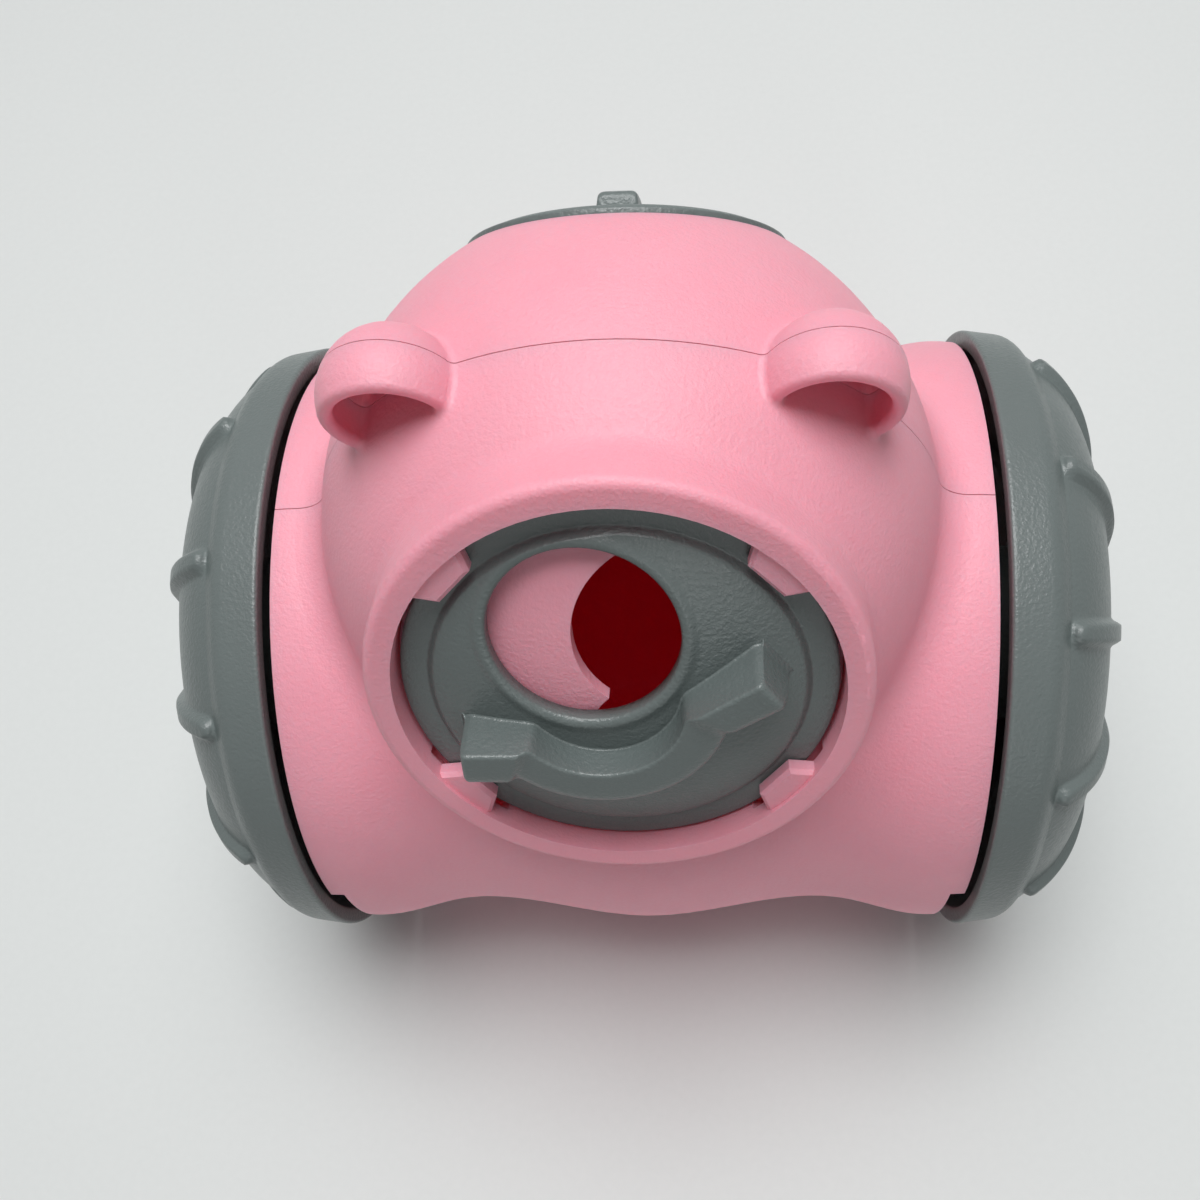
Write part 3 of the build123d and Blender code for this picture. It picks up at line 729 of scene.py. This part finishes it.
@dataclass
class OutletDisc:
    """The turning disc: a flange, a shallow dome, a treat hole with a soft rim, and the grip.

    Points are to the right of and up the disc from its middle. The grip's section is pairs of
    the way across it and up, with the rounding of each corner. The end values run from the tip
    inward: how far each row lies out, and its height and width as shares of the full section.
    """

    bottom: float = 30.65
    flange_top: float = 1.9
    face_radius: float = 21.9
    shoulder: float = 0.8
    dome: float = 3.4
    wall: float = 1.8
    hollow_radius: float = 20.2
    hole: tuple = (-3.3, 9.3)
    hole_radius: float = 10.8
    rim_height: float = 0.32
    rim_middle: float = 0.95
    rim_half_width: float = 1.1
    edge_round: float = 0.45
    step_width: float = 0.9
    columns: int = 240
    face_rows: int = 46
    face_margin: float = 0.6
    flange_rings: tuple = (23.6, 24.6, 25.1, 25.3, 25.4)
    flange_fall: tuple = (0.02, 0.1, 0.3)
    below_rings: tuple = (25.4, 25.2, 20.3)
    below_lift: tuple = (0.25, 0.0, 0.0)
    hollow_rows: int = 10
    grip_centre: tuple = (-2.1, 3.1)
    grip_top: float = 8.8
    grip_radii: tuple = (9.9, 15.2)
    inner_turns: tuple = (216.5, 352.0)
    outer_turns: tuple = (228.0, 345.0)
    left_end: tuple = ((-18.1, -2.75), (-18.1, -8.2))
    right_end: tuple = ((16.3, 7.75), (19.2, 3.2))
    arc_points: int = 61
    straight_points: int = 26
    crease_weights: tuple = (0.15, 0.22, 0.26, 0.22, 0.15)
    trim: int = 2
    section: tuple = (
        (-1.3, -0.9), (-1.2, 0.0), (-0.3, 0.0), (0.0, 6.0), (5.25, 6.0), (5.5, 0.0),
        (6.4, 0.0), (6.5, -0.9),
    )
    section_soft: tuple = (0.0, 0.0, 0.7, 0.55, 2.6, 0.8, 0.0, 0.0)
    section_round: int = 9
    section_step: float = 0.7
    section_width: float = 5.3
    section_rise: float = 6.0
    end_out: tuple = (1.6, 1.3, 1.0, 0.78, 0.72, 0.68, 0.6, 0.45, 0.22, 0.0)
    end_lift: tuple = (-0.15, 0.0, 0.03, 0.15, 0.45, 0.75, 0.88, 0.95, 0.99, 1.0)
    end_width: tuple = (0.0, 1.12, 1.03, 0.93, 0.91, 0.91, 0.92, 0.94, 0.975, 1.0)
    block_rows: int = 18
    saddle_rows: int = 6
    bar_drop: float = 0.17
    grip_sink: float = 0.03

    def step(self, from_middle: np.ndarray) -> np.ndarray:
        """The soft step at the raised face's edge.

        Args:
            from_middle: distances from the disc's middle.

        Returns:
            0 on the flange and 1 on the face.
        """
        return smoothstep((self.face_radius + self.step_width / 2 - from_middle) / self.step_width)

    def plain(self, x: np.ndarray, y: np.ndarray) -> np.ndarray:
        """The flange and a soft step up to a parabola, without the hole's rim.

        Args:
            x: distance to the right of the disc's middle.
            y: distance up the disc from its middle.

        Returns:
            The height above the disc's bottom.
        """
        from_middle = np.hypot(x, y)
        dome = self.shoulder + self.dome * (1 - (from_middle / self.face_radius) ** 2)
        return self.flange_top + self.step(from_middle) * dome

    def height(self, x: np.ndarray, y: np.ndarray) -> np.ndarray:
        """The top face: the plain height with a raised ring and a rounded edge at the hole.

        Args:
            x: distance to the right of the disc's middle.
            y: distance up the disc from its middle.

        Returns:
            The height above the disc's bottom.
        """
        from_edge = np.hypot(x - self.hole[0], y - self.hole[1]) - self.hole_radius
        ring = smoothstep(1 - np.abs(from_edge - self.rim_middle) / self.rim_half_width)
        fall = np.clip(1 - from_edge / self.edge_round, 0, 1)
        rounding = self.edge_round * (1 - np.sqrt(np.maximum(1 - fall**2, 0)))
        return self.plain(x, y) + self.rim_height * ring * self.step(np.hypot(x, y)) - rounding

    def disc(self) -> Surface:
        """The disc as one grid closed both ways, from the hole over the top and back below.

        Each column runs from a point of the hole's circle to the point of the disc's circle at
        the same angle. The rows are close together at the hole and at the shoulder.

        Returns:
            The closed surface.
        """
        angle = np.linspace(0, 2 * np.pi, self.columns, endpoint=False)
        ring = np.stack([np.cos(angle), np.sin(angle)], axis=-1)
        hole_edge = np.array(self.hole) + self.hole_radius * ring
        share = 0.5 - 0.5 * np.cos(np.linspace(0, np.pi, self.face_rows))[:, None, None]
        inner = hole_edge + share * ((self.face_radius + self.face_margin) * ring - hole_edge)
        outer = np.array(self.flange_rings)[:, None, None] * ring
        top = np.concatenate([inner, outer])
        top_height = self.height(top[..., 0], top[..., 1])
        top_height[-len(self.flange_fall):] -= np.array(self.flange_fall)[:, None]
        below_outer = np.array(self.below_rings)[:, None, None] * ring
        below_height = np.array(self.below_lift)[:, None] * np.ones_like(angle)
        back = np.linspace(1, 0, self.hollow_rows)[:, None, None]
        below_inner = hole_edge + back * (self.hollow_radius * ring - hole_edge)
        under = np.maximum(self.plain(below_inner[..., 0], below_inner[..., 1]) - self.wall, 0)
        plan = np.concatenate([top, below_outer, below_inner])
        height = np.concatenate([top_height, below_height, under])
        return Surface(
            SNOUT.put(plan[..., 0], plan[..., 1], self.bottom + height),
            wrap_rows=True,
            wrap_columns=True,
        )

    def grip_line(self, end: tuple, radius: float, turns: tuple, other_end: tuple) -> np.ndarray:
        """One long edge of the grip: straight, round an arc and straight again, creases softened.

        The three parts have as many points on both edges, so that the edges can be joined. Each
        point is then averaged with its neighbours, which rounds the two creases.

        Args:
            end: where the edge starts.
            radius: the arc's radius round the grip's centre.
            turns: the arc's first and last angle in degrees.
            other_end: where the edge ends.

        Returns:
            The edge's points on the disc's plan, without its folded ends.
        """
        angle = np.radians(np.linspace(*turns, self.arc_points))
        ring = np.stack([np.cos(angle), np.sin(angle)], axis=1)
        arc = np.array(self.grip_centre) + radius * ring
        share = np.linspace(0, 1, self.straight_points)[:-1, None]
        first = np.array(end) + share * (arc[0] - end)
        last = np.array(other_end) + share * (arc[-1] - other_end)
        line = np.concatenate([first, arc, last[::-1]])
        beyond = len(self.crease_weights) // 2
        padded = np.pad(line, ((beyond, beyond), (0, 0)), mode="reflect", reflect_type="odd")
        soft = [np.convolve(padded[:, axis], self.crease_weights, "valid") for axis in range(2)]
        return np.stack(soft, axis=1)[self.trim : -self.trim]

    def grip(self) -> Surface:
        """The grip as a closed skin carried between its two long edges.

        The section runs from the inner foot up a steep wall to a crisp edge, over the top and
        down a large round to the outer foot. Its height is a share of the way from the disc's
        face to the grip's level top, a little less between the two end blocks. At both ends the
        section shrinks to the face.

        Returns:
            The closed surface.
        """
        (left_inner, left_outer), (right_inner, right_outer) = self.left_end, self.right_end
        inner_radius, outer_radius = self.grip_radii
        inner = self.grip_line(left_inner, inner_radius, self.inner_turns, right_inner)
        outer = self.grip_line(left_outer, outer_radius, self.outer_turns, right_outer)
        corners, soft = np.array(self.section), np.array(self.section_soft)
        section = divided(
            rounded_line(corners, soft, steps=self.section_round), self.section_step
        )
        across, rise = section[:, 0] / self.section_width, section[:, 1] / self.section_rise
        out, lift, width = (
            np.array(values) for values in (self.end_out, self.end_lift, self.end_width)
        )
        start_way = inner[0] - inner[3] + outer[0] - outer[3]
        end_way = inner[-1] - inner[-4] + outer[-1] - outer[-4]
        start_way, end_way = (way / np.linalg.norm(way) for way in (start_way, end_way))
        shift = np.concatenate([
            out[:, None] * start_way, np.zeros((len(inner) - 2, 2)), out[::-1, None] * end_way,
        ])
        rows = np.clip(np.arange(len(shift)) - len(out) + 1, 0, len(inner) - 1)
        along = np.minimum(np.arange(1, len(inner) - 1), np.arange(len(inner) - 2, 0, -1))
        saddle = 1 - self.bar_drop * smoothstep((along - self.block_rows) / self.saddle_rows)
        lifts = np.concatenate([lift, saddle, lift[::-1]])[:, None]
        widths = np.concatenate([width, np.ones(len(inner) - 2), width[::-1]])[:, None]
        start, end = inner[rows] + shift, outer[rows] + shift
        share = 0.5 + (across - 0.5) * widths
        plan = start[:, None] + share[..., None] * (end - start)[:, None]
        face = self.height(plan[..., 0], plan[..., 1])
        raised = np.where(lifts < 0, lifts, rise * lifts)
        level = face + raised * (self.flange_top + self.grip_top - face)
        height = self.bottom + level - self.grip_sink
        return Surface(SNOUT.put(plan[..., 0], plan[..., 1], height), wrap_columns=True)

    def build(self, finishes: Finishes) -> None:
        """Makes the disc with its grip, and dresses the shutter plate and its screws.

        Args:
            finishes: the toy's finishes.
        """
        grey = finishes.materials[Slot.GREY]
        piece = make_piece("outlet_disc_with_grip", [self.disc(), self.grip()], grey)
        stand_for(piece, "outlet_disc", "outlet_disc_body")
        finishes.dress("shutter_plate", Slot.PINK)
        finishes.dress("shutter_screws", Slot.ZINC)


# Filling lid


@dataclass
class FillLid:
    """The lid of the filling port: a flange and a dome, a low grip and the plug below.

    The skin is pairs of height and radius, and the ridge is pairs of the way across the grip and
    height. The end values run from the grip's tip inward: each row's distance and its size.
    """

    bottom: float = 34.3
    skin: tuple = (
        (4.3, 0.01), (4.24, 3.0), (4.05, 6.0), (3.75, 9.0), (3.32, 12.0), (2.76, 15.0),
        (2.08, 18.0), (1.72, 19.4), (1.2, 20.1), (1.2, 20.8), (0.0, 20.8), (0.0, 17.3),
        (-1.55, 17.3), (-1.55, 15.85), (-3.85, 15.85), (-3.85, 17.3), (-5.2, 17.3),
        (-5.2, 14.1), (0.6, 14.1), (1.1, 12.0), (2.3, 0.01),
    )
    ridge_half_length: float = 15.0
    ridge: tuple = ((-7.2, 0.9), (-2.6, 3.4), (-2.3, 6.3), (2.3, 6.3), (2.6, 3.4), (7.2, 0.9))
    ridge_soft: tuple = (0.0, 0.7, 0.9, 0.9, 0.7, 0.0)
    ridge_step: float = 1.2
    crown_radius: float = 60.0
    skin_soft: float = 0.35
    dome_soft: float = 1.4
    dome_corners: int = 7
    skin_step: float = 2.0
    columns: int = 160
    end_reach: tuple = (0.0, 0.0, 0.12, 0.35, 0.7, 1.1)
    end_size: tuple = (0.0, 0.86, 0.93, 0.97, 0.99, 1.0)
    end_length: float = 1.6
    end_narrowing: float = 0.35
    middle_rows: int = 17

    def dome(self) -> Surface:
        """The lid turned on the port's axis: a rounded section carried round in a circle.

        Returns:
            The closed surface.
        """
        corners = np.array(self.skin)
        soft = np.full(len(corners), self.skin_soft)
        soft[[0, -1]] = 0.0
        soft[1 : self.dome_corners] = self.dome_soft
        line = divided(rounded_line(corners, soft), self.skin_step)
        angle = np.linspace(0, 2 * np.pi, self.columns, endpoint=False)
        points = PORT.put(
            line[:, 1:] * np.cos(angle), line[:, 1:] * np.sin(angle), self.bottom + line[:, :1]
        )
        return Surface(points, wrap_rows=True, wrap_columns=True)

    def grip(self) -> Surface:
        """The straight grip: its section carried along the port's y axis.

        The grip falls from its middle like a parabola and is shrunk at both ends.

        Returns:
            The closed surface.
        """
        corners = np.array(self.ridge)
        line = divided(rounded_line(corners, np.array(self.ridge_soft)), self.ridge_step)
        half, reach, shrunk = self.ridge_half_length, np.array(self.end_reach), self.end_size
        middle = np.linspace(-1, 1, self.middle_rows) * (half - self.end_length)
        along = np.concatenate([reach - half, middle, half - reach[::-1]])[:, None]
        size = np.concatenate([shrunk, np.ones(self.middle_rows), shrunk[::-1]])[:, None]
        foot, top = corners[:, 1].min(), corners[:, 1].max()
        x = np.where(size == 0, 0.0, line[:, 0] * (1 - self.end_narrowing * (1 - size)))
        fall = along**2 / (2 * self.crown_radius * (top - foot))
        z = foot + (line[:, 1] - foot) * (size - fall)
        return Surface(PORT.put(x, along, self.bottom + z), wrap_columns=True)

    def build(self, finishes: Finishes) -> None:
        """Makes the lid and dresses its seal.

        Args:
            finishes: the toy's finishes.
        """
        grey = finishes.materials[Slot.GREY]
        piece = make_piece("fill_lid_with_grip", [self.dome(), self.grip()], grey)
        stand_for(piece, "fill_lid", "fill_lid_body")
        finishes.dress("lid_seal", Slot.SEAL)


# Body


class Body:
    """The two shells and the weight box, whose CAD nodes are the finished forms."""

    slots = {
        "front_shell": Slot.PINK,
        "rear_shell": Slot.PINK,
        "shell_screws": Slot.ZINC,
        "weight_tub": Slot.PINK,
        "weight_cover": Slot.PINK,
        "weight_cover_screws": Slot.ZINC,
        "counterweight": Slot.WEIGHT,
    }

    def build(self, finishes: Finishes) -> None:
        """Dresses every node of the body.

        Args:
            finishes: the toy's finishes.
        """
        for node, slot in self.slots.items():
            finishes.dress(node, slot)


# Studio


TOY_MIDDLE = (0.0, 0.0, 0.06)


@dataclass
class Softbox:
    """A square lamp that looks at the toy, with its place and size in metres."""

    name: str
    place: tuple[float, float, float]
    size: float
    power: float

    def build(self) -> None:
        """Adds the lamp, turned so that its beam meets the toy."""
        lamp = bpy.data.lights.new(self.name, "AREA")
        lamp.shape = "SQUARE"
        lamp.size = self.size
        lamp.energy = self.power
        holder = bpy.data.objects.new(self.name, lamp)
        bpy.context.scene.collection.objects.link(holder)
        aim = np.array(TOY_MIDDLE) - np.array(self.place)
        z_axis = -aim / np.linalg.norm(aim)
        x_axis = np.cross((0.0, 1.0, 0.001), z_axis)
        x_axis = x_axis / np.linalg.norm(x_axis)
        axes = np.stack([x_axis, np.cross(z_axis, x_axis), z_axis], axis=1)
        matrix = np.eye(4)
        matrix[:3, :3], matrix[:3, 3] = axes, self.place
        holder.matrix_world = Matrix(matrix.tolist())


@dataclass
class Daylight:
    """Very soft light from overhead and a little behind, as bright far off as at the toy.

    The lean and the spread are angles in radians.
    """

    lean: float = 0.16
    spread: float = 0.65
    strength: float = 1.3

    def build(self) -> None:
        """Adds the light, leaned so that it comes from a little behind the toy."""
        lamp = bpy.data.lights.new("daylight", "SUN")
        lamp.energy, lamp.angle = self.strength, self.spread
        holder = bpy.data.objects.new("daylight", lamp)
        bpy.context.scene.collection.objects.link(holder)
        holder.rotation_euler = (-self.lean, 0.0, 0.0)


@dataclass
class InnerGlow:
    """A faint red lamp in the hollow body, for the light that soaks in through its pink walls.

    Its place and radius are in metres.
    """

    place: tuple[float, float, float] = (0.0, 0.005, 0.082)
    radius: float = 0.012
    power: float = 0.004
    colour: tuple[float, float, float] = (1.0, 0.0, 0.03)

    def build(self) -> None:
        """Adds the lamp in the middle of the hollow."""
        lamp = bpy.data.lights.new("wall_glow", "POINT")
        lamp.energy, lamp.color = self.power, self.colour
        lamp.shadow_soft_size = self.radius
        holder = bpy.data.objects.new("wall_glow", lamp)
        holder.visible_camera = holder.visible_glossy = False
        bpy.context.scene.collection.objects.link(holder)
        holder.location = self.place


@dataclass
class Studio:
    """A plain pale floor under soft light from above, seen by a steep camera.

    The floor's reach and fibre are in millimetres, and the camera's place is in metres.
    """

    floor_reach: float = 15000.0
    floor_lines: int = 31
    fibre: float = 1.5
    floor_colour: str = "#E3E6E5"
    backdrop_colour: str = "#DFE2E1"
    ambient: float = 0.1
    camera_place: tuple[float, float, float] = (0.01148, -0.07732, 0.23096)
    pitch: float = 1.2565
    yaw: float = -0.1861
    roll: float = -0.1861
    lens: float = 35.97
    sensor: float = 36.0
    clip: tuple[float, float] = (0.01, 20.0)
    shift: tuple[float, float] = (-0.0423, 0.12)
    lamps: list[Softbox] = field(default_factory=lambda: [
        Softbox("overhead_softbox", (-0.01, 0.12, 0.6), 0.4, 1.9),
        Softbox("front_softbox", (0.2, -0.75, 0.4), 0.16, 0.45),
    ])

    def floor(self) -> None:
        """A matt paper floor as a grid that lies level, with a faint fibre in its colour."""
        span = np.linspace(-self.floor_reach, self.floor_reach, self.floor_lines)
        x, y = np.meshgrid(span, span)
        sheet = Surface(np.stack([x, y, np.zeros_like(x)], axis=-1))
        material, tree = empty_material("matt_paper")
        place = add_node(tree, "ShaderNodeTexCoord").outputs["Object"]
        fibre = add_node(
            tree,
            "ShaderNodeTexNoise",
            {"Vector": place, "Scale": per_metre(self.fibre), "Detail": 3.0},
        )
        colour = add_node(
            tree,
            "ShaderNodeMix",
            {
                0: fibre.outputs["Fac"],
                6: linear(self.floor_colour),
                7: linear(self.backdrop_colour),
            },
            data_type="RGBA",
        )
        paper = add_node(
            tree,
            "ShaderNodeBsdfPrincipled",
            {"Base Color": colour.outputs[2], "Roughness": 0.9, "Specular IOR Level": 0.1},
        )
        close_material(tree, paper.outputs["BSDF"])
        make_piece("paper_floor", [sheet], material)

    def world(self) -> None:
        """Even light from all round, seen as the backdrop by camera, glossy and clear rays."""
        world = bpy.data.worlds.new("studio")
        bpy.context.scene.world = world
        world.use_nodes = True
        tree = world.node_tree
        tree.nodes.clear()
        path = add_node(tree, "ShaderNodeLightPath").outputs
        clear = add_node(
            tree,
            "ShaderNodeMath",
            {0: path["Is Camera Ray"], 1: path["Is Transmission Ray"]},
            operation="MAXIMUM",
        )
        seen = add_node(
            tree,
            "ShaderNodeMath",
            {0: clear.outputs[0], 1: path["Is Glossy Ray"]},
            operation="MAXIMUM",
        )
        light = add_node(
            tree, "ShaderNodeBackground", {"Color": (1, 1, 1, 1), "Strength": self.ambient}
        )
        backdrop = add_node(
            tree, "ShaderNodeBackground", {"Color": linear(self.backdrop_colour), "Strength": 1.0}
        )
        mixed = add_node(
            tree,
            "ShaderNodeMixShader",
            {0: seen.outputs[0], 1: light.outputs[0], 2: backdrop.outputs[0]},
        )
        add_node(tree, "ShaderNodeOutputWorld", {"Surface": mixed.outputs[0]})

    def camera(self) -> None:
        """The camera at the photograph's angle.

        It looks along (cos p sin y, cos p cos y, -sin p) for pitch p and yaw y, with its right
        and up axes turned by the roll about that line.
        """
        scene = bpy.context.scene
        data = bpy.data.cameras.new("photo_camera")
        data.lens, data.sensor_width = self.lens, self.sensor
        data.shift_x, data.shift_y = self.shift
        data.clip_start, data.clip_end = self.clip
        cos_p, sin_p = np.cos(self.pitch), np.sin(self.pitch)
        look = np.array([cos_p * np.sin(self.yaw), cos_p * np.cos(self.yaw), -sin_p])
        level = np.array([np.cos(self.yaw), -np.sin(self.yaw), 0.0])
        upright = np.cross(level, look)
        right = level * np.cos(self.roll) + upright * np.sin(self.roll)
        matrix = np.eye(4)
        matrix[:3, :3] = np.stack([right, np.cross(right, look), -look], axis=1)
        matrix[:3, 3] = self.camera_place
        camera = bpy.data.objects.new("photo_camera", data)
        scene.collection.objects.link(camera)
        camera.matrix_world = Matrix(matrix.tolist())
        scene.camera = camera

    def build(self) -> None:
        """Sets up the floor, the light and the camera."""
        self.floor()
        self.world()
        for lamp in self.lamps:
            lamp.build()
        Daylight().build()
        InnerGlow().build()
        self.camera()
        bpy.context.scene.view_settings.view_transform = "Standard"


def main() -> None:
    """Builds every sub-assembly in order, then the studio round it."""
    logging.basicConfig(level=logging.INFO, format="%(name)s: %(message)s")
    finishes = Finishes()
    Body().build(finishes)
    Wheel(Side.LEFT, rib_start=21.8).build(finishes)
    Wheel(Side.RIGHT, rib_start=6.8).build(finishes)
    OutletDisc().build(finishes)
    FillLid().build(finishes)
    Studio().build()


if __name__ == "__main__":
    main()
